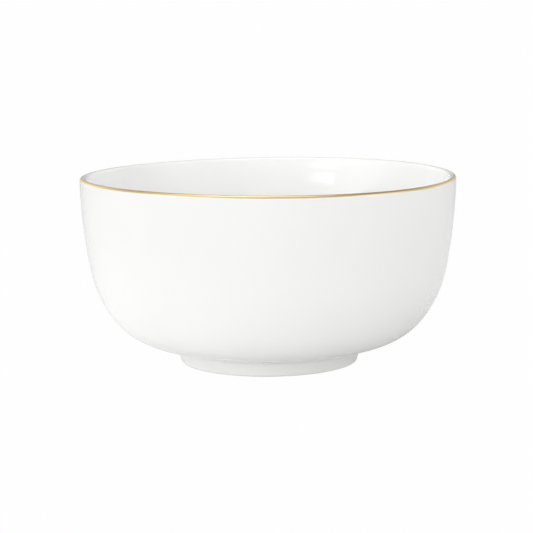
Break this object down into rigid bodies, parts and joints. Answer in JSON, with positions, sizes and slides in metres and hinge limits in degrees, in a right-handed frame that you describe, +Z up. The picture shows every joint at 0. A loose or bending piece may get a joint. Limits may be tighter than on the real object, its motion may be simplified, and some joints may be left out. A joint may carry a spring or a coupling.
{
  "type": "serving bowl",
  "caption": "Deep round porcelain serving bowl with nearly upright walls, a full round belly, a low tapered foot ring and a thin gilded rim.",
  "frame": {"origin": "centre of the foot ring's bearing face, on the surface the bowl stands on", "axes": "+Z up along the bowl's axis of revolution; X and Y are any two level directions at right angles"},
  "size_m": [0.2, 0.2, 0.1],
  "materials": {
    "bowl_body": "clear glossy glaze on white porcelain",
    "foot_ring": "clear glossy glaze on white porcelain, bare on the bearing face",
    "rim_gilding": "fired bright gold"
  },
  "bodies": {
    "root": {"bowl_body": "bowl_body", "foot_ring": "foot_ring", "rim_gilding": "rim_gilding"}
  },
  "joints": []
}
